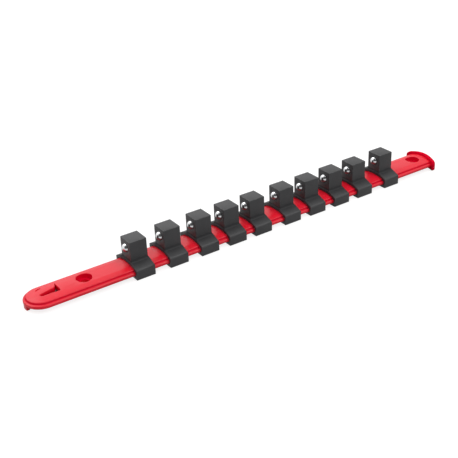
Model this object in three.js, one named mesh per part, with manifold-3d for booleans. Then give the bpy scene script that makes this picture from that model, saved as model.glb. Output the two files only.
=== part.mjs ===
// A rail that holds sockets on square drive posts: one red moulded rail with ten black clips on it.
// The clips slide along the rail, and each carries a sprung steel ball that a socket's recess snaps over.
// Millimetres. X runs along the rail from its round tip to its stop, Y across it and Z up from the bench.

import * as THREE from "three";
import { mergeVertices } from "three/addons/utils/BufferGeometryUtils.js";
import Module from "manifold-3d";

// Gaps between pieces
const slideGap = 0.3; // between the rail and the clip's channel, all round
const benchGap = 0.1; // between the bench and the clip's underside
const boreGap = 0.12; // between the ball and the wall of its bore
const mouthGap = 0.05; // between the ball and the lip that holds it in
const springGap = 0.15; // between the spring and what it pushes on
const overrun = 1; // how far each cut runs past what it cuts

// The rail's section
const railWidth = 24;
const flangeEdge = 2;
const flangeRise = 0.5;
const flangeRound = 0.6;
const domeWidth = 20;
const domeStep = 1.1;
const domeStepLean = 0.25;
const domeCrown = 1.4;

// The rail's length, and where things are on it
const railLength = 342.9; // from the tip to the stop's outer face
const firstClipFromTip = 78.6;
const lastClipFromStop = 45.8;
const clipPlaceShares = [0, 0.118, 0.232, 0.338, 0.439, 0.559, 0.665, 0.77, 0.875, 1];

// The two screw holes, each with a ledge for the screw's head and a collar that stands on the bench
const holeDiameter = 10.6;
const holeDepth = 3.4;
const ledgeWidth = 2.2;
const collarWall = 2.2;
const tipHoleFromTip = 41.2;
const stopHoleFromStop = 10.8;

// The wedge-shaped hanging slot by the tip, and the short slit beside it
const wedgeLength = 13.4;
const wedgeWidth = 9.7;
const wedgeSideFromTip = 23.2;
const wedgeBelowMiddle = 4.1;
const wedgeTipShares = [[0.1, 0.3], [0.02, 0.24], [0, 0.16], [0.03, 0.08], [0.1, 0.03]];
const wedgeFlareShares = [[1, 1], [0.93, 0.6], [0.8, 0.5]];
const slitLength = 4.2;
const slitWidth = 1.1;
const slitDepth = 2.6;
const slitFromTip = 11.7;
const slitAboveMiddle = 5.1;
const slitTurn = THREE.MathUtils.degToRad(21);

// The foot under the tip
const footWidth = 4.6;
const footDepth = 2.6;

// The curved stop at the other end
const stopThickness = 2.8;
const stopWidth = 29;
const stopRadius = 40;
const stopOverCrown = 1.6;
const stopArch = 2.6;
const stopCorner = 1.5;
const stopBrow = 3;

// The pockets that keep the rail's walls even underneath
const pocketWall = 2.2;
const bossWall = 2.4;
const ribThickness = 1.6;
const ribCount = 7;

// The clip
const postWidth = 12.6;
const postHeight = 14.3;
const postRound = 0.4;
const postEdgeRound = 0.45;
const rootFillet = 1.4;
const saddleWall = 1.9;
const skirtWall = 1.6;
const skirtOverFlange = 2.1;
const skirtBrow = 1.4;
const skirtRound = 0.5;
const lipThickness = 2.4;
const lipReach = 4.8;
const flareWidth = 0.65;
const flareHeight = 2;

// The ball, and the bore that it sits in
const ballDiameter = 6.35;
const ballShow = 2.4;
const ballBelowTop = 6.1;
const boreDepth = 10.2;
const mouthLip = 0.5;

// The spring behind the ball
const springDiameter = 5.4;
const springWire = 0.7;
const springTurns = 4;

// How finely round shapes are cut
const tipSegments = 36;
const stopSegments = 96;
const holeSegments = 28;
const ballSegments = 16;
const ballRings = 10;
const coilSteps = 8;
const wireSides = 5;
const bendSteps = 3;
const domeSteps = 5;
const archSteps = 6;
const weld = 1e-4;

// Heights above the bench
const flangeBottom = benchGap + lipThickness + slideGap;
const flangeTop = flangeBottom + flangeEdge;
const grooveHeight = flangeTop + flangeRise;
const domeEdgeHeight = grooveHeight + domeStep;
const crownHeight = domeEdgeHeight + domeCrown;
const lipTop = flangeBottom - slideGap;
const clipBottom = lipTop - lipThickness;
const rootHeight = crownHeight + slideGap + saddleWall;
const postTop = rootHeight + postHeight;
const skirtTop = flangeTop + slideGap + skirtOverFlange;
const ballHeight = postTop - ballBelowTop;

// Half widths
const railHalf = railWidth / 2;
const domeHalf = domeWidth / 2;
const postHalf = postWidth / 2;
const channelHalf = railHalf + slideGap;
const clipHalf = channelHalf + skirtWall;
const stopHalf = stopWidth / 2;
const clipHalfLength = postHalf + flareWidth;

// Places along the rail
const tipX = -railLength / 2;
const stopX = tipX + railLength - stopThickness;
const tipCentreX = tipX + railHalf;
const tipHoleX = tipX + tipHoleFromTip;
const stopHoleX = stopX - stopHoleFromStop;
const firstClipX = tipX + firstClipFromTip;
const lastClipX = stopX - lastClipFromStop;
const stopCentreX = stopX - stopRadius;

const wasm = await Module();
wasm.setup();

const redPlastic = new THREE.MeshStandardMaterial({ color: 0xd9142c, roughness: 0.38, metalness: 0 });
const blackPlastic = new THREE.MeshStandardMaterial({ color: 0x2b2d2f, roughness: 0.5, metalness: 0 });
const ballSteel = new THREE.MeshStandardMaterial({ color: 0xdfe1e4, roughness: 0.08, metalness: 1 });
const springSteel = new THREE.MeshStandardMaterial({ color: 0x9a9ca0, roughness: 0.35, metalness: 1 });

const point = (x, y) => new THREE.Vector2(x, y);
const along = { x: new THREE.Vector3(1, 0, 0), y: new THREE.Vector3(0, 1, 0), z: new THREE.Vector3(0, 0, 1) };

// Points of a round corner between two edges that meet at the middle point.
function bend(from, corner, to) {
  return new THREE.QuadraticBezierCurve(from, corner, to).getPoints(bendSteps);
}

// The same points on the other side of the middle line, in the order that closes the outline.
function mirrored(points) {
  return points.map((p) => point(-p.x, p.y)).reverse();
}

// A closed solid made from a three.js geometry.
function solid(geometry) {
  const bare = geometry.index ? geometry.toNonIndexed() : geometry.clone();
  bare.deleteAttribute("normal");
  bare.deleteAttribute("uv");
  const merged = mergeVertices(bare, weld);
  const vertProperties = merged.attributes.position.array;
  const triVerts = new Uint32Array(merged.index.array);
  return new wasm.Manifold(new wasm.Mesh({ numProp: 3, vertProperties, triVerts }));
}

// A named mesh made from a solid or from a geometry.
function piece(name, shape, material) {
  let geometry = shape;
  if (!shape.isBufferGeometry) {
    const { vertProperties, triVerts } = shape.getMesh();
    geometry = new THREE.BufferGeometry();
    geometry.setAttribute("position", new THREE.BufferAttribute(vertProperties, 3));
    geometry.setIndex(new THREE.BufferAttribute(triVerts, 1));
    geometry = geometry.toNonIndexed();
    geometry.computeVertexNormals();
  }
  const mesh = new THREE.Mesh(geometry, material);
  mesh.name = name;
  return mesh;
}

function extruded(outline, depth) {
  return new THREE.ExtrudeGeometry(new THREE.Shape(outline), { depth, bevelEnabled: false });
}

// An outline in Y and Z, run along X from one place to another.
function runAlong(outline, fromX, toX) {
  const turn = new THREE.Matrix4().makeBasis(along.y, along.z, along.x).setPosition(fromX, 0, 0);
  return solid(extruded(outline, toX - fromX).applyMatrix4(turn));
}

// An outline in X and Z, run across the rail to both sides of its middle.
function runAcross(outline, half) {
  const back = along.y.clone().negate();
  const turn = new THREE.Matrix4().makeBasis(along.x, along.z, back).setPosition(0, half, 0);
  return solid(extruded(outline, half + half).applyMatrix4(turn));
}

// An outline in X and Y, raised from one height to another.
function raised(outline, fromZ, toZ) {
  return solid(extruded(outline, toZ - fromZ).translate(0, 0, fromZ));
}

function upright(radius, x, fromZ, toZ, segments) {
  const cylinder = new THREE.CylinderGeometry(radius, radius, toZ - fromZ, segments);
  return solid(cylinder.rotateX(Math.PI / 2).translate(x, 0, (fromZ + toZ) / 2));
}

function block(fromX, toX, width, fromZ, toZ) {
  const box = new THREE.BoxGeometry(toX - fromX, width, toZ - fromZ);
  return solid(box.translate((fromX + toX) / 2, 0, (fromZ + toZ) / 2));
}

// Height of the arched top at a distance from the middle line.
function domeHeight(y) {
  return crownHeight - domeCrown * (y / domeHalf) ** 2;
}

// The rail's upper outline from the flange's edge to the crown, moved out and up by the same amount.
function railTop(grow) {
  const rounded = bend(
    point(railHalf, flangeTop - flangeRound),
    point(railHalf, flangeTop),
    point(railHalf - flangeRound, flangeTop),
  );
  const groove = point(domeHalf + domeStepLean, grooveHeight);
  const dome = [];
  for (let i = 0; i <= domeSteps; i++) {
    const y = domeHalf * (1 - i / domeSteps);
    dome.push(point(y, domeHeight(y)));
  }
  return [...rounded, groove, ...dome].map((p) => point(p.x + grow, p.y + grow));
}

// The straight rail and its round tip, which turns the same outline about an upright axis.
function railStrip() {
  const half = [point(railHalf, flangeBottom), ...railTop(0)];
  const outline = [...half, ...mirrored(half.slice(0, -1))];
  const straight = runAlong(outline, tipCentreX, stopX + stopThickness);
  const lathed = new THREE.LatheGeometry([point(0, flangeBottom), ...half], tipSegments);
  const tip = solid(lathed.rotateX(Math.PI / 2).translate(tipCentreX, 0, 0));
  return straight.add(tip);
}

// What lies beyond the middle of the stop's curved wall.
function beyondStop() {
  const far = stopX + stopThickness + overrun;
  const slab = block(stopX - railHalf, far, railWidth + overrun, 0, crownHeight + overrun);
  return slab.subtract(stopDisc(stopRadius + stopThickness / 2));
}

function stopDisc(radius) {
  const top = crownHeight + stopOverCrown + overrun;
  return upright(radius, stopCentreX, -overrun, top, stopSegments);
}

// The stop: a wall between two arcs, with an arched top and round corners.
function stopWall() {
  const topAt = (y) => crownHeight + stopOverCrown - stopArch * (y / stopHalf) ** 2;
  const side = stopHalf - stopCorner;
  const brow = stopHalf - stopBrow;
  const half = [
    ...bend(point(side, 0), point(stopHalf, 0), point(stopHalf, stopCorner)),
    ...bend(point(stopHalf, topAt(brow) - stopBrow), point(stopHalf, topAt(brow)), point(brow, topAt(brow))),
  ];
  for (let i = 1; i <= archSteps; i++) {
    const y = brow * (1 - i / archSteps);
    half.push(point(y, topAt(y)));
  }
  const outline = [...half, ...mirrored(half.slice(0, -1))];
  const front = runAlong(outline, stopCentreX, stopX + stopThickness + overrun);
  const ring = stopDisc(stopRadius + stopThickness).subtract(stopDisc(stopRadius));
  return front.intersect(ring);
}

// The foot: a short piece under the tip, cut off by the tip's own curve.
function tipFoot() {
  const foot = block(tipX - overrun, tipX + footDepth, footWidth, 0, flangeTop);
  return foot.intersect(upright(railHalf, tipCentreX, -overrun, flangeTop, tipSegments));
}

function screwCollar(x) {
  const radius = holeDiameter / 2 - ledgeWidth + collarWall;
  return upright(radius, x, 0, flangeTop, holeSegments);
}

function screwHole(x) {
  const ledge = crownHeight - holeDepth;
  const head = upright(holeDiameter / 2, x, ledge, crownHeight + overrun, holeSegments);
  const shank = upright(holeDiameter / 2 - ledgeWidth, x, -overrun, crownHeight, holeSegments);
  return head.add(shank);
}

function wedgeSlot() {
  const left = tipX + wedgeSideFromTip - wedgeLength;
  const place = ([x, y]) => point(left + x * wedgeLength, y * wedgeWidth - wedgeBelowMiddle);
  const flare = bend(...wedgeFlareShares.map(place));
  const outline = [place([1, 0]), ...flare, ...wedgeTipShares.map(place)];
  return raised(outline, -overrun, crownHeight + overrun);
}

function slit() {
  const half = slitLength / 2 - slitWidth / 2;
  const end = new THREE.Shape();
  end.absarc(half, 0, slitWidth / 2, -Math.PI / 2, Math.PI / 2);
  end.absarc(-half, 0, slitWidth / 2, Math.PI / 2, (3 * Math.PI) / 2);
  const depth = slitDepth + domeCrown;
  const bar = new THREE.ExtrudeGeometry(end, { depth, bevelEnabled: false, curveSegments: bendSteps });
  return solid(bar.rotateZ(slitTurn).translate(tipX + slitFromTip, slitAboveMiddle, crownHeight - slitDepth));
}

// The pockets between the two holes, parted by ribs.
function pockets() {
  const half = domeHalf - pocketWall;
  const outline = [point(-half, 0), point(half, 0)];
  for (let i = 0; i <= domeSteps; i++) {
    const y = half * (1 - (2 * i) / domeSteps);
    outline.push(point(y, domeHeight(y) - pocketWall));
  }
  const bossRadius = holeDiameter / 2 + bossWall;
  const fromX = tipHoleX + bossRadius;
  const pitch = (stopHoleX - bossRadius - fromX + ribThickness) / (ribCount + 1);
  const cuts = [];
  for (let i = 0; i <= ribCount; i++) {
    const x = fromX + i * pitch;
    cuts.push(runAlong(outline, x, x + pitch - ribThickness));
  }
  return cuts;
}

function rail() {
  let body = railStrip().subtract(beyondStop()).add(stopWall()).add(tipFoot());
  body = body.add(screwCollar(tipHoleX)).add(screwCollar(stopHoleX));
  const cuts = [screwHole(tipHoleX), screwHole(stopHoleX), wedgeSlot(), slit(), ...pockets()];
  for (const cut of cuts) body = body.subtract(cut);
  return body;
}

// The clip seen along the rail: post, saddle, skirts, and the lips that hook under the flanges.
function clipFront() {
  const slope = (rootHeight - skirtTop) / (clipHalf - postHalf);
  const post = bend(
    point(postHalf, postTop - postRound),
    point(postHalf, postTop),
    point(postHalf - postRound, postTop),
  );
  const root = bend(
    point(postHalf + rootFillet, rootHeight - rootFillet * slope),
    point(postHalf, rootHeight),
    point(postHalf, rootHeight + rootFillet),
  );
  const brow = bend(
    point(clipHalf, skirtTop - skirtBrow),
    point(clipHalf, skirtTop),
    point(clipHalf - skirtBrow, skirtTop + skirtBrow * slope),
  );
  const edge = bend(
    point(clipHalf - skirtRound, clipBottom),
    point(clipHalf, clipBottom),
    point(clipHalf, clipBottom + skirtRound),
  );
  const lipEnd = channelHalf - lipReach;
  const outside = [point(lipEnd, clipBottom), ...edge, ...brow, ...root, ...post];
  const channel = [point(lipEnd, lipTop), point(channelHalf, lipTop), ...railTop(slideGap)];
  return [...outside, ...mirrored(outside), ...mirrored(channel).reverse(), ...[...channel].reverse()];
}

// The clip seen from its side: the post flares out a little where it meets the foot.
function clipSide() {
  const flareTop = rootHeight + flareHeight;
  const half = [
    ...bend(
      point(clipHalfLength - skirtRound, clipBottom),
      point(clipHalfLength, clipBottom),
      point(clipHalfLength, clipBottom + skirtRound),
    ),
    ...bend(point(clipHalfLength, rootHeight), point(postHalf, rootHeight), point(postHalf, flareTop)),
    ...bend(
      point(postHalf, postTop - postRound),
      point(postHalf, postTop),
      point(postHalf - postRound, postTop),
    ),
  ];
  return [...half, ...mirrored(half)];
}

// Turns a shape made about the Y axis so that it lies along the bore, from the post's face inwards.
function intoPost(geometry, fromX) {
  const turn = new THREE.Matrix4().makeBasis(along.z, along.x, along.y);
  return geometry.applyMatrix4(turn.setPosition(fromX, 0, ballHeight));
}

const ballRadius = ballDiameter / 2;
const ballCentreX = -postHalf - ballShow + ballRadius;

// The bore: a lip at its mouth is narrower than the ball, and keeps it in.
function bore() {
  const faceRadius = Math.sqrt(ballRadius ** 2 - (ballCentreX + postHalf) ** 2);
  const mouthRadius = faceRadius + mouthGap;
  const boreRadius = ballRadius + boreGap;
  const outline = [
    point(0, -overrun),
    point(mouthRadius, -overrun),
    point(mouthRadius, 0),
    point(boreRadius, mouthLip),
    point(boreRadius, boreDepth),
    point(0, boreDepth),
  ];
  return solid(intoPost(new THREE.LatheGeometry(outline, ballSegments), -postHalf));
}

// What rounds the post's upright edges: a square frame round it, with a round-cornered opening.
function edgeRounding() {
  const out = postHalf + overrun;
  const flat = postHalf - postEdgeRound;
  const corner = bend(point(postHalf, flat), point(postHalf, postHalf), point(flat, postHalf));
  const side = [...corner, ...mirrored(corner)];
  const back = side.map((p) => point(-p.x, -p.y));
  const frame = new THREE.Shape([point(-out, -out), point(out, -out), point(out, out), point(-out, out)]);
  frame.holes.push(new THREE.Path([...side, ...back].reverse()));
  const fromZ = rootHeight + Math.max(rootFillet, flareHeight);
  const depth = postTop + overrun - fromZ;
  return solid(new THREE.ExtrudeGeometry(frame, { depth, bevelEnabled: false }).translate(0, 0, fromZ));
}

function clip() {
  const front = runAlong(clipFront(), -clipHalfLength, clipHalfLength);
  const body = front.intersect(runAcross(clipSide(), clipHalf + overrun));
  return body.subtract(edgeRounding()).subtract(bore());
}

function ball() {
  return intoPost(new THREE.SphereGeometry(ballRadius, ballSegments, ballRings), ballCentreX);
}

// The wire's middle line, from the ball to the floor of the bore.
class Coil extends THREE.Curve {
  constructor() {
    super();
    const wire = springWire / 2;
    this.radius = springDiameter / 2 - wire;
    const reach = ballRadius + springGap + wire;
    this.fromX = ballCentreX + Math.sqrt(reach ** 2 - this.radius ** 2);
    this.toX = -postHalf + boreDepth - springGap - wire;
  }

  getPoint(t, target = new THREE.Vector3()) {
    const angle = 2 * Math.PI * springTurns * t;
    const x = THREE.MathUtils.lerp(this.fromX, this.toX, t);
    return target.set(x, this.radius * Math.cos(angle), ballHeight + this.radius * Math.sin(angle));
  }
}

// The least clear space between one turn of the spring and the next.
function leastTurnGap(coil) {
  const steps = springTurns * coilSteps;
  const points = coil.getPoints(steps);
  let least = Infinity;
  for (let i = 0; i < points.length; i++) {
    for (let j = i + coilSteps / 2; j < points.length; j++) {
      least = Math.min(least, points[i].distanceTo(points[j]) - springWire);
    }
  }
  return least;
}

function spring() {
  const section = [];
  for (let i = 0; i < wireSides; i++) {
    const angle = (2 * Math.PI * i) / wireSides;
    section.push(point((springWire / 2) * Math.cos(angle), (springWire / 2) * Math.sin(angle)));
  }
  const extrudePath = new Coil();
  const steps = springTurns * coilSteps;
  console.log("least gap between spring turns", leastTurnGap(extrudePath).toFixed(2), "mm");
  return new THREE.ExtrudeGeometry(new THREE.Shape(section), { steps, extrudePath, bevelEnabled: false });
}

const socketRail = new THREE.Group();
socketRail.add(piece("rail", rail(), redPlastic));

const clipShape = clip();
const ballShape = ball();
const springShape = spring();
clipPlaceShares.forEach((share, i) => {
  const number = String(i + 1).padStart(2, "0");
  const set = new THREE.Group();
  set.position.x = THREE.MathUtils.lerp(firstClipX, lastClipX, share);
  set.add(piece("clip_" + number, clipShape, blackPlastic));
  set.add(piece("ball_" + number, ballShape, ballSteel));
  set.add(piece("spring_" + number, springShape, springSteel));
  socketRail.add(set);
});

export default socketRail;
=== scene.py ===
import math

import bmesh
import bpy
from mathutils import Matrix, Vector


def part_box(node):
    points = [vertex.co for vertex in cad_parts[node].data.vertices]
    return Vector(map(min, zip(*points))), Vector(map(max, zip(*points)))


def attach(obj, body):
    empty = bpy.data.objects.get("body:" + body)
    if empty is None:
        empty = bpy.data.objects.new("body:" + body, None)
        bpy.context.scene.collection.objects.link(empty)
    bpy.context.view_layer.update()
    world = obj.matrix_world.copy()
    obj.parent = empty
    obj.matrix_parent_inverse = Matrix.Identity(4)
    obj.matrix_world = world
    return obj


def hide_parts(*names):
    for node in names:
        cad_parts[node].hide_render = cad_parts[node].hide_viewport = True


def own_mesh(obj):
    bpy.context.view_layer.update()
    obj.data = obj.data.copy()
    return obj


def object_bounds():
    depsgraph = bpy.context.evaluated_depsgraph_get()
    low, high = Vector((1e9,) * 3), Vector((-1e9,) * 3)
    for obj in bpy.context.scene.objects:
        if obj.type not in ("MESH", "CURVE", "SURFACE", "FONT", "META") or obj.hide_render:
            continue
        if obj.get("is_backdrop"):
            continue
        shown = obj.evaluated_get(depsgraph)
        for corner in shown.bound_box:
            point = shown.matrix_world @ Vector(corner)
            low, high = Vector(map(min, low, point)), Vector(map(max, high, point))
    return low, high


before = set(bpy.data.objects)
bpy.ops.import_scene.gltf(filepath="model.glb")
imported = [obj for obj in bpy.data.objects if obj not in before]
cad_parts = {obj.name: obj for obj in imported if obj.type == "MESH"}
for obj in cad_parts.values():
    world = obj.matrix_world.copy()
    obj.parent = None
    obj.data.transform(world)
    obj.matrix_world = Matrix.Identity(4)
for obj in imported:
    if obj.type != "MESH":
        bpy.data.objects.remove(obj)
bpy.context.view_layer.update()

print("frame loaded:", len(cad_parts), "nodes")

# Everything is modelled in millimetres, and each mesh is brought to metres when it is finished
millimetre = 0.001
cutMargin = 2.0                    # how far a cutter runs past what it cuts
longEdge = 1.0                     # an edge that spans more than this goes right across a blank
sharpAngle = math.radians(38)      # an edge that bends more than this stays crisp
level = 1e-3                       # how near a point lies to a height that it is picked by
mergeReach = 1e-4                  # points nearer to each other than this become one
cutReach = 1e-5                    # a point nearer to a cutting plane than this lies on it


def objectFrom(name, bm):
    mesh = bpy.data.meshes.new(name)
    bm.to_mesh(mesh)
    bm.free()
    made = bpy.data.objects.new(name, mesh)
    bpy.context.scene.collection.objects.link(made)
    return made


def meshOf(piece):
    bm = bmesh.new()
    bm.from_mesh(piece.data)
    return bm


def giveMesh(piece, bm):
    bm.to_mesh(piece.data)
    bm.free()


def settle(piece):
    # what the modifiers show becomes the piece's own mesh
    graph = bpy.context.evaluated_depsgraph_get()
    settled = bpy.data.meshes.new_from_object(piece.evaluated_get(graph))
    piece.modifiers.clear()
    before, piece.data = piece.data, settled
    bpy.data.meshes.remove(before)


def combine(piece, other, operation):
    change = piece.modifiers.new(operation, "BOOLEAN")
    change.operation = operation
    change.solver = "EXACT"
    change.object = other
    settle(piece)
    bpy.data.objects.remove(other)


def cleaned(bm):
    bmesh.ops.remove_doubles(bm, verts=bm.verts[:], dist=mergeReach)
    bmesh.ops.dissolve_degenerate(bm, edges=bm.edges[:], dist=mergeReach)
    bmesh.ops.recalc_face_normals(bm, faces=bm.faces[:])
    return bm


def finishMesh(shape, name, material, move=(0, 0, 0)):
    # a piece in metres, with its place in its mesh, smooth but for its crisp corners
    mesh = shape.data.copy()
    mesh.name = name
    mesh.transform(Matrix.Scale(millimetre, 4) @ Matrix.Translation(move))
    mesh.shade_smooth()
    mesh.set_sharp_from_angle(angle=sharpAngle)
    mesh.materials.clear()
    mesh.materials.append(material)
    made = bpy.data.objects.new(name, mesh)
    bpy.context.scene.collection.objects.link(made)
    return made


def faceOf(bm, points):
    return bm.faces.new([bm.verts.new(p) for p in points])


def pulled(bm, face, by):
    # extrudes a face and returns its new end
    made = bmesh.ops.extrude_face_region(bm, geom=[face])["geom"]
    end = next(g for g in made if isinstance(g, bmesh.types.BMFace))
    bmesh.ops.translate(bm, verts=end.verts[:], vec=by)
    return end


def rounded(bm, geom, rounding, affect="EDGES"):
    # a rounding is its width and its number of steps
    width, steps = rounding
    bmesh.ops.bevel(bm, geom=geom, offset=width, offset_type="OFFSET", segments=steps, profile=0.5,
                    affect=affect, material=-1, clamp_overlap=False)


def edgesWhere(bm, test):
    return [e for e in bm.edges if test(e.verts[0].co, e.verts[1].co)]


def edgesAt(bm, height):
    return edgesWhere(bm, lambda a, b: abs(a.z - height) < level and abs(b.z - height) < level)


def cutAcross(bm, faces, place, normal):
    geom = list(faces)
    for face in faces:
        geom += [*face.edges, *face.verts]
    bmesh.ops.bisect_plane(bm, geom=list(dict.fromkeys(geom)), dist=cutReach, plane_co=place, plane_no=normal)


def cutStrips(bm, count, width):
    # lengthwise cuts on both sides of the middle, for a blank to bend on
    for i in range(-count, count + 1):
        cutAcross(bm, bm.faces[:], (0, i * width, 0), (0, 1, 0))


def spunSolid(profile, centre, axis, steps):
    # a profile of points turned all the way round an axis
    bm = bmesh.new()
    verts = [bm.verts.new(p) for p in profile]
    edges = [bm.edges.new(pair) for pair in zip(verts, verts[1:])]
    bmesh.ops.spin(bm, geom=verts + edges, cent=centre, axis=axis, angle=2 * math.pi, steps=steps,
                   use_merge=True)
    return cleaned(bm)


def markFaces(bm, name, test):
    # an attribute that is 1 on the faces that the test picks, and 0 elsewhere
    layer = bm.loops.layers.float.new(name)
    for face in bm.faces:
        if test(face):
            for loop in face.loops:
                loop[layer] = 1.0


class Wire:
    # the socket that a value comes from, for use in sums
    def __init__(self, tree, socket):
        self.tree, self.socket = tree, socket

    def math(self, operation, first, second):
        node = self.tree.nodes.new("ShaderNodeMath")
        node.operation = operation
        fill(node.inputs[0], first)
        fill(node.inputs[1], second)
        return Wire(self.tree, node.outputs[0])

    def __add__(self, other):
        return self.math("ADD", self, other)

    def __radd__(self, other):
        return self.math("ADD", other, self)

    def __sub__(self, other):
        return self.math("SUBTRACT", self, other)

    def __rsub__(self, other):
        return self.math("SUBTRACT", other, self)

    def __mul__(self, other):
        return self.math("MULTIPLY", self, other)

    def __rmul__(self, other):
        return self.math("MULTIPLY", other, self)


def fill(entry, value):
    # a wire is linked to a node's entry, and anything else is set there
    if isinstance(value, Wire):
        value.tree.links.new(value.socket, entry)
    else:
        entry.default_value = value


mixColours = (6, 7)                # the Mix node's two entries for colours
mixResult = 2                      # and its result for colours
rampScale = 0.05                   # brings heights in millimetres into the reach of a ramp


class Finish:
    # one material or world, and the nodes that make it
    def __init__(self, owner):
        self.owner = owner
        owner.use_nodes = True
        self.tree = owner.node_tree
        self.tree.nodes.clear()

    def node(self, kind, settings=None, inputs=None, output=0):
        made = self.tree.nodes.new("ShaderNode" + kind)
        for key, value in (settings or {}).items():
            if key == "stops":
                for stop, (place, shade) in zip(made.color_ramp.elements, value):
                    stop.position, stop.color = place, (shade, shade, shade, 1)
            else:
                setattr(made, key, value)
        for key, value in (inputs or {}).items():
            fill(made.inputs[key], value)
        return Wire(self.tree, made.outputs[output]) if made.outputs else None

    def cloud(self, scale, stretch, detail):
        # noise on the piece's own coordinates, its scale in features to a metre
        here = self.node("TexCoord", output="Object")
        mapped = self.node("Mapping", None, {"Vector": here, "Scale": stretch})
        return self.node("TexNoise", None, {"Vector": mapped, "Scale": scale, "Detail": detail}, "Fac")

    def blend(self, first, second, share):
        colours = dict(zip(mixColours, (first, second)))
        return self.node("Mix", {"data_type": "RGBA"}, {"Factor": share, **colours}, mixResult)

    def ramp(self, value, reach, shades=(0, 1)):
        # the first shade up to where the reach starts, and the second from its end on
        return self.node("ValToRGB", {"stops": zip(reach, shades)}, {"Fac": value})

    def rise(self, low, high):
        # 0 up to the lower height above the bench, in millimetres, and 1 from the higher on
        here = self.node("TexCoord", output="Object")
        mapped = self.node("Mapping", None, {"Vector": here, "Scale": (1, 1, rampScale / millimetre)})
        height = self.node("SeparateXYZ", None, {"Vector": mapped}, "Z")
        return self.ramp(height, (low * rampScale, high * rampScale))

    def band(self, below, low, high, above):
        # 1 between the two middle heights, and 0 below the first and above the last
        return self.rise(below, low) - self.rise(high, above)

    def mark(self, name):
        # what a piece's own attribute says
        return self.node("Attribute", {"attribute_name": name}, output="Fac")

    def dulled(self, shader, colour, share):
        # the shader, without its sheen where the share is 1, used for painted shade
        paintedShade = self.node("BsdfDiffuse", None, {"Color": colour})
        return self.node("MixShader", None, {0: share, 1: shader, 2: paintedShade})

    def bump(self, height, strength, depth):
        # relief, its depth in metres
        return self.node("Bump", None, {"Height": height, "Strength": strength, "Distance": depth})

    def surface(self, shader, kind="OutputMaterial"):
        self.node(kind, None, {"Surface": shader})
        return self.owner


# a cloud is its scale, its stretch and its detail, and a bump its strength and its depth
even = (1, 1, 1)
plasticIor = 1.5
redFinish = {
    "colour": (0.86, 0.003, 0.024, 1), "deep": (0.78, 0.002, 0.018, 1), "deepUpTo": (0.3, 0.62),
    "gloss": 0.26, "haze": 0.12, "streaky": 0.08, "waves": 0.6, "bump": (0.12, 0.00015),
    "flow": (60, (0.2, 1, 1), 3), "grain": (1400, even, 3), "streaks": (900, (0.02, 1, 1), 2),
    # the darker red and the groove's band of heights are for painted shade
    "paintedShade": (0.72, 0.0015, 0.024, 1), "groove": (5.05, 5.3, 5.8, 6.6), "grooveShade": 0.85, "markedShade": 0.95,
}


def redPlastic():
    finish = Finish(bpy.data.materials.new("redPlastic"))
    flow = finish.cloud(*redFinish["flow"])
    grain = finish.cloud(*redFinish["grain"])
    streaks = finish.cloud(*redFinish["streaks"])
    shallow = finish.ramp(flow, redFinish["deepUpTo"])
    shader = finish.node("BsdfPrincipled", None, {
        "Base Color": finish.blend(redFinish["deep"], redFinish["colour"], shallow),
        "Roughness": redFinish["gloss"] + redFinish["haze"] * flow + redFinish["streaky"] * streaks,
        "IOR": plasticIor,
        "Normal": finish.bump(grain + redFinish["waves"] * flow, *redFinish["bump"]),
    })
    # painted shade: the groove, the screw holes and the stop lose their sheen and take a darker red
    groove = redFinish["grooveShade"] * finish.band(*redFinish["groove"])
    paintedShade = groove.math("MAXIMUM", groove, redFinish["markedShade"] * finish.mark("paintedShade"))
    return finish.surface(finish.dulled(shader, redFinish["paintedShade"], paintedShade))


blackFinish = {
    "colour": (0.027, 0.027, 0.029, 1), "cloudy": (0.038, 0.038, 0.0405, 1), "cloudyFrom": (0.35, 0.7),
    # the paler corner colour is partly wear and partly a painted highlight
    "rubbedAndHighlit": (0.075, 0.075, 0.078, 1), "rubbedAndHighlitFrom": (0.4, 0.62), "wearAndHighlight": 0.6,
    "gloss": 0.36, "haze": 0.14, "grainy": 0.06, "polish": -0.12, "bump": (0.25, 0.00012),
    "cast": (90, even, 3), "grain": (2600, even, 2), "scuffs": (420, even, 4),
    # the band round the post's foot, and how much painted shade it gets
    "foot": (7.8, 9.9, 10.6, 12.4), "footShade": 0.65,
}


def blackPlastic():
    finish = Finish(bpy.data.materials.new("blackPlastic"))
    cast = finish.cloud(*blackFinish["cast"])
    grain = finish.cloud(*blackFinish["grain"])
    scuffs = finish.cloud(*blackFinish["scuffs"])
    # the corners are paler and smoother, partly wear where sockets rub and partly a painted highlight along
    # the edges, more in some places than in others
    rubbedAndHighlit = finish.mark("corner") * finish.ramp(scuffs, blackFinish["rubbedAndHighlitFrom"])
    cloudy = finish.ramp(cast, blackFinish["cloudyFrom"])
    plain = finish.blend(blackFinish["colour"], blackFinish["cloudy"], cloudy)
    rough = blackFinish["gloss"] + blackFinish["haze"] * cast + blackFinish["grainy"] * grain
    shader = finish.node("BsdfPrincipled", None, {
        "Base Color": finish.blend(plain, blackFinish["rubbedAndHighlit"], blackFinish["wearAndHighlight"] * rubbedAndHighlit),
        "Roughness": rough + blackFinish["polish"] * rubbedAndHighlit,
        "IOR": plasticIor,
        "Normal": finish.bump(grain, *blackFinish["bump"]),
    })
    # round the foot of the post the sheen is taken out: painted shade where the post meets the saddle
    foot = blackFinish["footShade"] * finish.band(*blackFinish["foot"])
    return finish.surface(finish.dulled(shader, blackFinish["colour"], foot))


steelFinish = {
    "clean": (0.78, 0.79, 0.81, 1), "bright": (0.86, 0.87, 0.88, 1), "gloss": 0.03, "haze": 0.05,
    "smear": (500, even, 3), "scratches": (2200, (1, 0.05, 1), 2), "bump": (0.04, 0.00005),
    # the darker colour on the ball's lower part is painted shade
    "lowShade": (0.2, 0.16, 0.16, 1), "lowShadeUpTo": (17.3, 18.3), "lowShadeCover": 0.45, "lowShadeHaze": 0.22,
}


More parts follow.
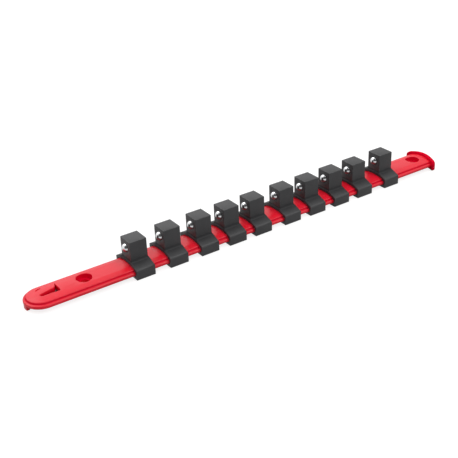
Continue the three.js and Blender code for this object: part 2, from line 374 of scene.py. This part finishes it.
def polishedSteel():
    finish = Finish(bpy.data.materials.new("polishedSteel"))
    smear = finish.cloud(*steelFinish["smear"])
    scratches = finish.cloud(*steelFinish["scratches"])
    # the lower part of the ball is painted darker, rougher and less metallic: painted shade on what it mirrors
    lowShade = 1 - finish.rise(*steelFinish["lowShadeUpTo"])
    clean = finish.blend(steelFinish["clean"], steelFinish["bright"], smear)
    return finish.surface(finish.node("BsdfPrincipled", None, {
        "Base Color": finish.blend(clean, steelFinish["lowShade"], lowShade),
        "Metallic": 1 - steelFinish["lowShadeCover"] * lowShade,
        "Roughness": steelFinish["gloss"] + steelFinish["haze"] * smear + steelFinish["lowShadeHaze"] * lowShade,
        "Normal": finish.bump(scratches, *steelFinish["bump"]),
    }))


wireFinish = {
    "dark": (0.36, 0.36, 0.37, 1), "bright": (0.5, 0.5, 0.51, 1), "drawn": (3000, (0.3, 1, 1), 2),
    "gloss": 0.28, "haze": 0.12, "bump": (0.1, 0.00004),
}


def springWire():
    finish = Finish(bpy.data.materials.new("springWire"))
    drawn = finish.cloud(*wireFinish["drawn"])
    return finish.surface(finish.node("BsdfPrincipled", None, {
        "Base Color": finish.blend(wireFinish["dark"], wireFinish["bright"], drawn),
        "Metallic": 1.0,
        "Roughness": wireFinish["gloss"] + wireFinish["haze"] * drawn,
        "Normal": finish.bump(drawn, *wireFinish["bump"]),
    }))


railSize = {
    "tip": -171.45, "width": 24.0, "bottom": 2.8, "flangeTop": 4.8, "slopeWidth": 1.75, "groove": 5.3,
    "stepLean": 0.25, "domeEdge": 6.4, "arch": 1.4, "tipSteps": 64, "stripWidth": 0.8, "bendSlack": 0.05,
    "endInStop": 169.2, "flangeUnder": (0.45, 3), "flangeOver": (0.6, 4), "grooveFillet": (0.22, 3),
    "domeRound": (0.4, 5), "rim": (0.35, 3), "footRim": (0.3, 2),
}
railHalf = railSize["width"] / 2
domeHalf = railHalf - railSize["slopeWidth"] - railSize["stepLean"]
tipCentreX = railSize["tip"] + railHalf
crown = railSize["domeEdge"] + railSize["arch"]


def archAt(x, y):
    # how far the arched top rises above its own edge
    away = math.hypot(min(0, x - tipCentreX), y)
    return railSize["arch"] * max(0, 1 - (away / domeHalf) ** 2)


def railPlate():
    # flange, groove and raised top, with the top still flat
    bottom, flangeTop, groove = railSize["bottom"], railSize["flangeTop"], railSize["groove"]
    bm = bmesh.new()
    first = bm.verts.new((tipCentreX, railHalf, bottom))
    bmesh.ops.spin(bm, geom=[first], cent=(tipCentreX, 0, 0), axis=(0, 0, 1), angle=math.pi,
                   steps=railSize["tipSteps"])
    farX = railSize["endInStop"] + 2 * cutMargin
    corners = [bm.verts.new((farX, side * railHalf, bottom)) for side in (-1, 1)]
    plate = bm.faces.new(bm.verts[:-2] + corners)
    top = pulled(bm, plate, (0, 0, flangeTop - bottom))
    top.normal_update()
    for inset, rise in ((railSize["slopeWidth"], groove - flangeTop),
                        (railSize["stepLean"], railSize["domeEdge"] - groove)):
        bmesh.ops.inset_region(bm, faces=[top], thickness=inset, depth=rise, use_boundary=True,
                               use_even_offset=True)
    bmesh.ops.recalc_face_normals(bm, faces=bm.faces[:])
    for height, rounding in (("bottom", "flangeUnder"), ("flangeTop", "flangeOver"),
                             ("groove", "grooveFillet"), ("domeEdge", "domeRound")):
        rounded(bm, edgesAt(bm, railSize[height]), railSize[rounding])
    bmesh.ops.bisect_plane(bm, geom=bm.verts[:] + bm.edges[:] + bm.faces[:],
                           plane_co=(railSize["endInStop"], 0, 0), plane_no=(1, 0, 0), clear_outer=True)
    bmesh.ops.holes_fill(bm, edges=[e for e in bm.edges if e.is_boundary], sides=0)
    return objectFrom("railPlate", cleaned(bm))


holeSize = {
    "head": 5.3, "shank": 3.1, "ledge": 4.4, "round": (0.3, 3), "steps": 64, "places": (-130.25, 157.85),
    "ringSlack": 0.02, "collar": 5.3, "collarSunk": 0.5, "collarRound": (0.4, 3),
}


def screwCollar(x):
    # the tube under a hole, which stands on the bench and ends inside the flange
    high = railSize["flangeTop"] - holeSize["collarSunk"]
    bm = bmesh.new()
    bmesh.ops.create_cone(bm, cap_ends=True, cap_tris=False, segments=holeSize["steps"],
                          radius1=holeSize["collar"], radius2=holeSize["collar"], depth=high)
    bmesh.ops.translate(bm, verts=bm.verts[:], vec=(x, 0, high / 2))
    rounded(bm, edgesAt(bm, 0), holeSize["collarRound"])
    return objectFrom("screwCollar", cleaned(bm))


def screwHole(x):
    head, shank, ledge = holeSize["head"], holeSize["shank"], holeSize["ledge"]
    high = railSize["domeEdge"] + cutMargin
    profile = ((0, -cutMargin), (shank, -cutMargin), (shank, ledge), (head, ledge), (head, high), (0, high))
    bm = spunSolid([(x + r, 0, z) for r, z in profile], (x, 0, 0), (0, 0, 1), holeSize["steps"])
    for radius in (shank, head):
        ring = [e for e in edgesAt(bm, ledge)
                if all(abs(math.hypot(v.co.x - x, v.co.y) - radius) < holeSize["ringSlack"] for v in e.verts)]
        rounded(bm, ring, holeSize["round"])
    return objectFrom("screwHole", cleaned(bm))


# the outline is in shares of the wedge's length and width
wedgeSize = {
    "left": -161.65, "length": 13.4, "low": -4.1, "width": 9.7, "round": (0.3, 3),
    "outline": ((1, 0), (1, 1), (0.947, 0.767), (0.88, 0.6), (0.8, 0.5), (0.1, 0.3), (0.02, 0.24), (0, 0.16),
                (0.03, 0.08), (0.1, 0.03)),
}


def wedgeSlot():
    bm = bmesh.new()
    face = faceOf(bm, [(wedgeSize["left"] + x * wedgeSize["length"], wedgeSize["low"] + y * wedgeSize["width"],
                        -cutMargin) for x, y in wedgeSize["outline"]])
    pulled(bm, face, (0, 0, railSize["domeEdge"] + 2 * cutMargin))
    cleaned(bm)
    rounded(bm, edgesWhere(bm, lambda a, b: abs(a.z - b.z) > longEdge), wedgeSize["round"])
    return objectFrom("wedgeSlot", cleaned(bm))


slitSize = {"half": 1.55, "radius": 0.55, "floor": 5.2, "steps": 10, "place": (-159.75, 5.1, 0),
            "turn": math.radians(21)}


def slit():
    half, radius, floor = slitSize["half"], slitSize["radius"], slitSize["floor"]
    bm = bmesh.new()
    for side in (1, -1):
        start = bm.verts.new((side * half, -side * radius, floor))
        bmesh.ops.spin(bm, geom=[start], cent=(side * half, 0, 0), axis=(0, 0, 1), angle=math.pi,
                       steps=slitSize["steps"])
    face = bm.faces.new(bm.verts[:])
    pulled(bm, face, (0, 0, crown - floor + cutMargin))
    bmesh.ops.rotate(bm, verts=bm.verts[:], cent=(0, 0, 0), matrix=Matrix.Rotation(slitSize["turn"], 3, "Z"))
    bmesh.ops.translate(bm, verts=bm.verts[:], vec=slitSize["place"])
    return objectFrom("slit", cleaned(bm))


# the upward part of a face's normal: at most this for an upright wall, and at least this for a level face
rimTilt = {"upright": 0.2, "between": 0.5, "level": 0.99}


def rims(bm, height, up):
    # edges at a height, between a level face that looks up (1) or down (-1) and the upright wall of a hole
    found = []
    for edge in bm.edges:
        if len(edge.link_faces) == 2 and abs(edge.verts[0].co.z - height) < level:
            normals = [f.normal.z for f in edge.link_faces]
            wall, flat = sorted(abs(z) if abs(z) < rimTilt["between"] else up * z for z in normals)
            if 0 <= wall < rimTilt["upright"] and flat > rimTilt["level"]:
                found.append(edge)
    return found


def arched(piece):
    # the flat top gets strips to bend on, and then its arch
    bm = meshOf(piece)
    for height, up, rounding in (("domeEdge", 1, "rim"), ("bottom", -1, "footRim")):
        bm.normal_update()
        rounded(bm, rims(bm, railSize[height], up), railSize[rounding])
    slack, width = railSize["bendSlack"], railSize["stripWidth"]
    bendsAbove = railSize["domeEdge"] - railSize["domeRound"][0] - slack
    strips = int(domeHalf / width)
    cuts = [((0, i * width, 0), (0, 1, 0)) for i in range(-strips, strips + 1)]
    cuts += [((tipCentreX - i * width, 0, 0), (1, 0, 0)) for i in range(strips + 1)]
    for place, normal in cuts:
        top = [f for f in bm.faces if min(v.co.z for v in f.verts) > bendsAbove]
        cutAcross(bm, top, place, normal)
    for vert in bm.verts:
        if vert.co.z > bendsAbove - 2 * slack:
            vert.co.z += archAt(vert.co.x, vert.co.y)
    giveMesh(piece, cleaned(bm))


stopSize = {
    "centre": 128.65, "radius": 40.0, "thickness": 2.8, "half": 14.5, "overCrown": 1.6, "arch": 2.6,
    "brow": (3.0, 8), "corner": (1.5, 5), "edge": (0.55, 4), "stripWidth": 1.0,
}


def stopWall():
    # a flat wall with round corners, arched at its top and then bent to its arc
    bm = bmesh.new()
    half = stopSize["half"]
    archHalf = half - stopSize["brow"][0]
    top = crown + stopSize["overCrown"] - stopSize["arch"] * (archHalf / half) ** 2
    face = faceOf(bm, [(0, -half, 0), (0, half, 0), (0, half, top), (0, -half, top)])
    pulled(bm, face, (stopSize["thickness"], 0, 0))
    cleaned(bm)
    for height, rounding in ((top, "brow"), (0, "corner")):
        through = edgesWhere(bm, lambda a, b: abs(a.x - b.x) > longEdge and abs(a.z - height) < level)
        rounded(bm, through, stopSize[rounding])
    rounded(bm, edgesWhere(bm, lambda a, b: abs(a.x - b.x) < level), stopSize["edge"])
    cutStrips(bm, int(half / stopSize["stripWidth"]), stopSize["stripWidth"])
    for vert in bm.verts:
        x, y, z = vert.co
        if abs(y) < archHalf and z > top - stopSize["edge"][0] - level:
            vert.co.z += stopSize["arch"] * (archHalf ** 2 - y ** 2) / half ** 2
        vert.co.x = stopSize["centre"] + math.sqrt((stopSize["radius"] + x) ** 2 - y ** 2)
    return objectFrom("stopWall", cleaned(bm))


footSize = {"width": 4.6, "depth": 2.6, "top": 4.0, "recess": 0.05, "round": (0.45, 3), "strips": 4}


def tipFoot():
    # the small foot under the tip, its outer face bent to the tip's round end
    bm = bmesh.new()
    half, depth = footSize["width"] / 2, footSize["depth"]
    face = faceOf(bm, [(0, -half, 0), (depth, -half, 0), (depth, half, 0), (0, half, 0)])
    pulled(bm, face, (0, 0, footSize["top"]))
    cleaned(bm)
    rounded(bm, edgesWhere(bm, lambda a, b: min(a.z, b.z) < level), footSize["round"])
    cutStrips(bm, footSize["strips"], half / footSize["strips"])
    radius = railHalf - footSize["recess"]
    for vert in bm.verts:
        x, y, z = vert.co
        vert.co.x = x + tipCentreX - x / depth * radius - (1 - x / depth) * math.sqrt(radius ** 2 - y ** 2)
    return objectFrom("tipFoot", cleaned(bm))


pocketSize = {"half": 7.8, "wall": 2.2, "boss": 7.7, "rib": 1.6, "ribs": 7, "round": (0.8, 4), "strips": 6,
              "stripWidth": 1.15}


def pockets():
    # the hollows under the rail, parted by ribs
    bm = bmesh.new()
    half = pocketSize["half"]
    roof = crown - pocketSize["wall"] - railSize["arch"] * (half / domeHalf) ** 2
    fromX = holeSize["places"][0] + pocketSize["boss"]
    room = holeSize["places"][1] - pocketSize["boss"] - fromX + pocketSize["rib"]
    pitch = room / (pocketSize["ribs"] + 1)
    for i in range(pocketSize["ribs"] + 1):
        x = fromX + i * pitch
        face = faceOf(bm, [(x, -half, 0), (x, half, 0), (x, half, roof), (x, -half, roof)])
        pulled(bm, face, (pitch - pocketSize["rib"], 0, 0))
    cleaned(bm)
    rounded(bm, edgesWhere(bm, lambda a, b: max(a.z, b.z) > roof - level), pocketSize["round"])
    cutStrips(bm, pocketSize["strips"], pocketSize["stripWidth"])
    for vert in bm.verts:
        if vert.co.z > roof - pocketSize["round"][0] - level:
            vert.co.z += railSize["arch"] * (half ** 2 - vert.co.y ** 2) / domeHalf ** 2
    return objectFrom("pockets", cleaned(bm))


# how far inside the stop, and below a hole's ledge, the middle of a marked face may lie
shadeSlack = {"stop": 0.05, "ledge": 0.5}


def inPaintedShade(face):
    # the faces of the stop, and of the screw holes down to their ledges, which get painted shade
    x, y, z = face.calc_center_median()
    fromStop = math.hypot(x - stopSize["centre"], y) - stopSize["radius"]
    fromHole = min(math.hypot(x - place, y) for place in holeSize["places"]) - holeSize["head"]
    onStop = x > stopSize["centre"] and fromStop > -shadeSlack["stop"]
    return onStop or (z > holeSize["ledge"] - shadeSlack["ledge"] and fromHole < 0)


def railShape():
    rail = railPlate()
    for x in holeSize["places"]:
        combine(rail, screwCollar(x), "UNION")
    for cutter in [screwHole(x) for x in holeSize["places"]] + [wedgeSlot(), slit()]:
        combine(rail, cutter, "DIFFERENCE")
    arched(rail)
    combine(rail, stopWall(), "UNION")
    combine(rail, tipFoot(), "UNION")
    combine(rail, pockets(), "DIFFERENCE")
    bm = cleaned(meshOf(rail))
    # these faces get painted shade in the red material
    markFaces(bm, "paintedShade", inPaintedShade)
    giveMesh(rail, bm)
    return rail


clipSize = {
    "halfLength": 6.95, "half": 13.9, "bottom": 0.1, "lipTop": 2.5, "lipEnd": 7.5, "channel": 12.3,
    "gap": 0.3, "skirtTop": 7.2, "root": 10.0, "archSteps": 8,
    "brow": (1.4, 5), "foot": 0.5, "ends": 0.25, "inside": 0.3,
    "post": 6.3, "top": 24.29, "fillet": 1.4, "filletSteps": 8, "dip": 0.02, "sunk": 0.7, "flare": 0.42,
    "flareHeight": 2.0, "flareRings": (0.85, 1), "upright": (0.45, 6), "topRound": (0.4, 4),
    "cornerWidth": 0.35, "cornerBends": (0.05, 0.9),
}
ballSize = {"radius": 3.175, "x": -5.525, "z": 18.2, "subdivisions": 5}
boreSize = {"mouth": 3.13, "rim": 0.3, "rimSteps": 5, "lip": 0.7, "radius": 3.3, "depth": 10.2, "steps": 64}


def clipOutline():
    # half the clip's section from the lip outwards, and half the channel that the rail fills, both mirrored
    half, lipEnd, channel, gap = (clipSize[key] for key in ("half", "lipEnd", "channel", "gap"))
    outer = [(lipEnd, clipSize["bottom"]), (half, clipSize["bottom"]),
             (half, clipSize["skirtTop"]), (clipSize["post"], clipSize["root"])]
    inner = [(lipEnd, clipSize["lipTop"]), (channel, clipSize["lipTop"]),
             (channel, railSize["flangeTop"] + gap),
             (domeHalf + railSize["stepLean"] + gap, railSize["groove"] + gap)]
    for i in range(clipSize["archSteps"]):
        y = domeHalf * (1 - i / clipSize["archSteps"])
        inner.append((y + gap, railSize["domeEdge"] + archAt(0, y) + gap))
    otherOuter = [(-y, z) for y, z in reversed(outer)]
    otherInner = [(-y, z) for y, z in inner]
    return outer + otherOuter + otherInner + [(0, crown + gap)] + inner[::-1]


def clipFoot():
    # the saddle, skirts and lips that wrap the rail
    half, channel, lipEnd = clipSize["half"], clipSize["channel"], clipSize["lipEnd"]
    bm = bmesh.new()
    face = faceOf(bm, [(-clipSize["halfLength"], y, z) for y, z in clipOutline()])
    pulled(bm, face, (2 * clipSize["halfLength"], 0, 0))
    cleaned(bm)
    widest, steps = clipSize["brow"]
    weight = bm.edges.layers.float.new("bevel_weight_edge")
    for edge in bm.edges:
        a, b = (v.co for v in edge.verts)
        lengthwise = abs(a.x - b.x) > level
        across, height = round(abs(a.y), 2), round(a.z, 2)
        if not lengthwise:
            edge[weight] = clipSize["ends"] / widest
        elif (across, height) == (half, clipSize["skirtTop"]):
            edge[weight] = 1
        elif (across, height) == (half, clipSize["bottom"]):
            edge[weight] = clipSize["foot"] / widest
        elif across in (lipEnd, channel):
            edge[weight] = clipSize["inside"] / widest
    foot = objectFrom("clipFoot", bm)
    bevel = foot.modifiers.new("edges", "BEVEL")
    bevel.width, bevel.segments = widest, steps
    bevel.limit_method, bevel.use_clamp_overlap = "WEIGHT", False
    settle(foot)
    return foot


def clipPost():
    # the square post, drawn up from rounded squares that spread into the saddle
    post, root, fillet, dip = clipSize["post"], clipSize["root"], clipSize["fillet"], clipSize["dip"]
    steps, flareHeight = clipSize["filletSteps"], clipSize["flareHeight"]
    slope = (root - clipSize["skirtTop"]) / (clipSize["half"] - post)
    start = root - fillet * slope - dip
    sections = [(start - clipSize["sunk"], fillet)]
    for i in range(steps + 1):
        t = i / steps
        z = start * (1 - t) ** 2 + 2 * (root - dip) * t * (1 - t) + (root + fillet) * t ** 2
        sections.append((z, fillet * (1 - t) ** 2))
    sections += [(root + flareHeight * share, 0) for share in clipSize["flareRings"]]
    sections.append((clipSize["top"], 0))
    bm = bmesh.new()
    face = faceOf(bm, [(-post, -post, 0), (post, -post, 0), (post, post, 0), (-post, post, 0)])
    rounded(bm, face.verts[:], clipSize["upright"], "VERTICES")
    end = bm.faces[:][0]
    before, height = (1, 1), sections[0][0]
    bmesh.ops.translate(bm, verts=end.verts[:], vec=(0, 0, height))
    for i, (z, spread) in enumerate(sections):
        rise = max(0, min(1, (z - root + dip) / flareHeight))
        wide = (1 + clipSize["flare"] * (1 - math.sqrt(rise)) ** 2 / post, 1 + spread / post)
        if i:
            under = end
            end = pulled(bm, under, (0, 0, z - height))
            # the first face left behind closes the post's underside, and the others would lie inside it
            if i > 1:
                bmesh.ops.delete(bm, geom=[under], context="FACES_ONLY")
        bmesh.ops.scale(bm, verts=end.verts[:], vec=(wide[0] / before[0], wide[1] / before[1], 1))
        before, height = wide, z
    rounded(bm, end.edges[:], clipSize["topRound"])
    return objectFrom("clipPost", cleaned(bm))


def bore():
    # the blind hole for ball and spring, its rim turned in to keep the ball
    face, z = -clipSize["post"], ballSize["z"]
    mouth, rim, steps = boreSize["mouth"], boreSize["rim"], boreSize["rimSteps"]
    profile = [(face - cutMargin, 0), (face - cutMargin, mouth + rim)]
    for i in range(steps + 1):
        turn = math.sin(i / steps * math.pi / 2)
        profile.append((face + rim * (1 - math.sqrt(1 - turn ** 2)), mouth + rim * (1 - turn)))
    profile += [(face + boreSize["lip"], boreSize["radius"]), (face + boreSize["depth"], boreSize["radius"]),
                (face + boreSize["depth"], 0)]
    return objectFrom("bore", spunSolid([(x, 0, z + r) for x, r in profile], (0, 0, z), (1, 0, 0),
                                        boreSize["steps"]))


def isCorner(face):
    # the narrow faces that round an outer corner, where sockets rub and where a highlight is painted
    width = face.calc_area() / max(e.calc_length() for e in face.edges)
    least, most = clipSize["cornerBends"]
    bends = [e for e in face.edges if e.is_manifold and least < e.calc_face_angle() < most]
    return width < clipSize["cornerWidth"] and len(bends) > 1 and all(e.is_convex for e in bends)


def clipShape():
    clip = clipFoot()
    combine(clip, clipPost(), "UNION")
    combine(clip, bore(), "DIFFERENCE")
    bm = cleaned(meshOf(clip))
    bm.normal_update()
    markFaces(bm, "corner", isCorner)
    giveMesh(clip, bm)
    return clip


def ballShape():
    bm = bmesh.new()
    bmesh.ops.create_icosphere(bm, subdivisions=ballSize["subdivisions"], radius=ballSize["radius"])
    bmesh.ops.translate(bm, verts=bm.verts[:], vec=(ballSize["x"], 0, ballSize["z"]))
    return objectFrom("ball", bm)


coilSize = {"wire": 0.35, "radius": 2.35, "from": -2.7, "to": 3.4, "turns": 4, "steps": 28, "sides": 12,
            "pressed": 2.4, "spare": 0.15}


def springShape():
    bm = bmesh.new()
    radius, turns, z = coilSize["radius"], coilSize["turns"], ballSize["z"]
    length = coilSize["to"] - coilSize["from"]
    steps = turns * coilSize["steps"]
    ring = bmesh.ops.create_circle(bm, segments=coilSize["sides"], radius=coilSize["wire"])["verts"]
    lean = math.atan(length / turns / (2 * math.pi * radius))
    bmesh.ops.rotate(bm, verts=ring, cent=(0, 0, 0), matrix=Matrix.Rotation(lean, 3, "Y"))
    bmesh.ops.translate(bm, verts=ring, vec=(coilSize["from"], radius, z))
    bmesh.ops.spin(bm, geom=bm.verts[:] + bm.edges[:], cent=(0, 0, z), axis=(1, 0, 0),
                   dvec=(length / steps, 0, 0), angle=2 * math.pi * turns, steps=steps)
    bmesh.ops.holes_fill(bm, edges=[e for e in bm.edges if e.is_boundary], sides=0)
    return objectFrom("spring", cleaned(bm))


red, black, steel, drawnSteel = redPlastic(), blackPlastic(), polishedSteel(), springWire()
shapes = {"rail": railShape(), "clip": clipShape(), "ball": ballShape(), "spring": springShape()}
print("shapes:", {name: len(shape.data.polygons) for name, shape in shapes.items()})

rail = finishMesh(shapes["rail"], "rail_body", red)
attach(rail, "rail")
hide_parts("rail")
print("rail in place")

# a spring's seat stays where it is, and the spring stays with its clip
clipCount = sum(node.startswith("clip_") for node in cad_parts)
for number in range(1, clipCount + 1):
    tag = "%02d" % number
    low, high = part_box("clip_" + tag)
    middle = ((low.x + high.x) / 2 / millimetre, 0, 0)
    clip = finishMesh(shapes["clip"], "clip_%s_body" % tag, black, middle)
    ball = finishMesh(shapes["ball"], "ball_%s_body" % tag, steel, middle)
    spring = finishMesh(shapes["spring"], "spring_%s_coil" % tag, drawnSteel, middle)
    for piece, body, node, slot in ((clip, "clip_", "clip_", "black_plastic"),
                                    (ball, "ball_", "ball_", "ball_steel"),
                                    (spring, "clip_", "spring_", "spring_steel")):
        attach(piece, body + tag)
        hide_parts(node + tag)
    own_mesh(spring)
for shape in shapes.values():
    bpy.data.objects.remove(shape)
print("clips, balls and springs in place:", clipCount)


# from here on, lengths are in metres
floorSize = {"half": 6.0, "cells": 4, "drop": 0.00005, "colour": (0.3, 0.3, 0.3, 1), "glow": 0.82,
             "mirrored": 0.5}
# the shade on the paper under the hanging slot: its middle, where it ends, how far off it looks for what
# covers a place, and how open that place may be
slotShade = {"middle": (-0.149, 0.006, 0), "ends": (0.007, 0.009), "reach": 0.03, "samples": 8,
             "open": (0.25, 0.5)}


def seenDirectly(finish, mirrored=1.0):
    # 1 for what the camera or a clear ray meets, a share of it for what is mirrored, 0 for soft light
    camera, glossy, clear = (finish.node("LightPath", output="Is %s Ray" % kind)
                             for kind in ("Camera", "Glossy", "Transmission"))
    return camera.math("MINIMUM", camera + mirrored * glossy + clear, 1)


def paperFloor():
    finish = Finish(bpy.data.materials.new("paperFloor"))
    paper = finish.node("BsdfDiffuse", None, {"Color": floorSize["colour"]})
    # the paper lies in full shade where it shows through the hanging slot
    lit = finish.node("AmbientOcclusion", {"samples": slotShade["samples"]},
                      {"Distance": slotShade["reach"]}, "AO")
    here = finish.node("TexCoord", output="Object")
    away = finish.node("VectorMath", {"operation": "DISTANCE"}, {0: here, 1: slotShade["middle"]}, "Value")
    near = finish.ramp(away, slotShade["ends"], (1, 0))
    shade = (1 - finish.ramp(lit, slotShade["open"])) * near
    seen = seenDirectly(finish, floorSize["mirrored"])
    glow = finish.node("Emission", None, {"Strength": seen * (1 - shade) * floorSize["glow"]})
    bm = bmesh.new()
    bmesh.ops.create_grid(bm, x_segments=floorSize["cells"], y_segments=floorSize["cells"],
                          size=floorSize["half"])
    bmesh.ops.translate(bm, verts=bm.verts[:], vec=(0, 0, -floorSize["drop"]))
    floor = objectFrom("paper_floor", bm)
    floor.data.materials.append(finish.surface(finish.node("AddShader", None, {0: paper, 1: glow})))
    floor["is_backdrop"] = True


# the sky's strength, and the sides of the room that are darker: where each darkens, and by how much
roomLight = {
    "sky": 0.6, "colour": (1, 1, 1, 1),
    "darkSides": (((-0.485, -0.735, 0.474), (0.5, 0.85), 0.92), ((0.8, 0.5, 0.33), (0.93, 0.99), 0.3)),
}


def room():
    sky = bpy.data.worlds.new("studio")
    bpy.context.scene.world = sky
    finish = Finish(sky)
    # the side that the picture is taken from is a dark room and its far corner is dim, which only sheen shows
    towards = finish.node("TexCoord", output="Generated")
    dark = 0
    for side, reach, share in roomLight["darkSides"]:
        facing = finish.node("VectorMath", {"operation": "DOT_PRODUCT"}, {0: towards, 1: side}, "Value")
        dark = dark + share * finish.ramp(facing, reach)
    glossy = finish.node("LightPath", output="Is Glossy Ray")
    soft = roomLight["sky"]
    strength = soft + seenDirectly(finish) * (1 - soft) - dark * glossy
    finish.surface(finish.node("Background", None, {"Color": roomLight["colour"], "Strength": strength}),
                   "OutputWorld")


lamps = {
    "above": {"place": (-0.55, 1.2, 1.75), "target": (0, 0, 0), "size": (1.6, 1.4), "power": 14.0},
    "near": {"place": (0.77, -1.0, 1.8), "target": (0, 0, 0), "size": (1.4, 1.2), "power": 15.0},
    "behind": {"place": (0.35, 1.2, 0.72), "target": (-0.1, 0, 0), "size": (0.9, 0.6), "power": 0.8},
}


def light(name, place, target, size, power):
    lamp = bpy.data.lights.new(name, "AREA")
    lamp.shape, lamp.size, lamp.size_y, lamp.energy = "RECTANGLE", size[0], size[1], power
    holder = bpy.data.objects.new(name, lamp)
    bpy.context.scene.collection.objects.link(holder)
    aim = (Vector(target) - Vector(place)).to_track_quat("-Z", "Y")
    holder.matrix_world = Matrix.Translation(place) @ aim.to_matrix().to_4x4()


# angles are in degrees, and the focal length and the image's width in pixels
viewFrom = {
    "eye": (-0.32094, -0.4581, 0.3006), "azimuth": -33.445, "elevation": 28.323, "roll": -2.518,
    "focal": 895.0, "image": 458.0, "sensor": 36.0, "nearest": 0.01, "farthest": 50.0,
}


def camera():
    lens = bpy.data.cameras.new("camera")
    lens.sensor_width = viewFrom["sensor"]
    lens.lens = lens.sensor_width * viewFrom["focal"] / viewFrom["image"]
    lens.clip_start, lens.clip_end = viewFrom["nearest"], viewFrom["farthest"]
    azimuth, elevation, roll = (math.radians(viewFrom[key]) for key in ("azimuth", "elevation", "roll"))
    back = Vector((math.sin(azimuth) * math.cos(elevation), -math.cos(azimuth) * math.cos(elevation),
                   math.sin(elevation)))
    right = Vector((0, 0, 1)).cross(back).normalized()
    up = back.cross(right)
    across = math.cos(roll) * right + math.sin(roll) * up
    upright = math.cos(roll) * up - math.sin(roll) * right
    holder = bpy.data.objects.new("camera", lens)
    turned = Matrix((across, upright, back)).transposed().to_4x4()
    holder.matrix_world = Matrix.Translation(viewFrom["eye"]) @ turned
    bpy.context.scene.collection.objects.link(holder)
    bpy.context.scene.camera = holder


paperFloor()
room()
for name, lamp in lamps.items():
    light(name, **lamp)
camera()
bpy.context.scene.view_settings.view_transform = "Standard"
print("stage, light and camera in place")

low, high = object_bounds()
